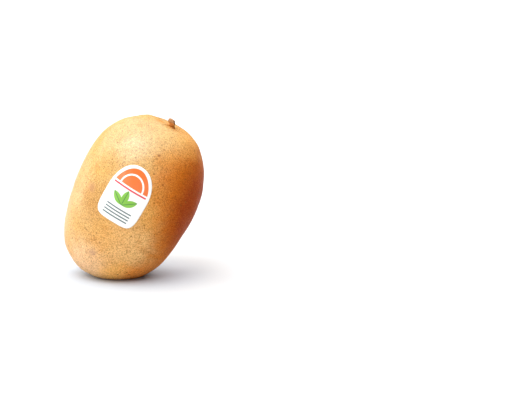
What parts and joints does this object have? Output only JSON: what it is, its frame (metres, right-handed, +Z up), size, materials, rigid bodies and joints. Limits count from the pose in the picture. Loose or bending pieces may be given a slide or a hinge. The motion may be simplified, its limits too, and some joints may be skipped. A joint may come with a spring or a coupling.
{
  "type": "golden kiwi fruit",
  "caption": "Whole golden kiwi fruit with its stem stub and a plain sticker, leaning at rest on a small flat spot.",
  "frame": {"origin": "middle of the small flat spot that the fruit rests on", "axes": "+Z up; +X to the side that the stem end leans to; -Y towards the side that carries the label"},
  "size_m": [0.0574, 0.0505, 0.0667],
  "materials": {
    "skin": "fine matte golden-tan skin with brown specks",
    "stem": "dry rough woody brown",
    "label": null
  },
  "bodies": {
    "root": {"kiwi_fruit": "skin", "stem_stub": "stem", "fruit_label": "label"}
  },
  "joints": []
}
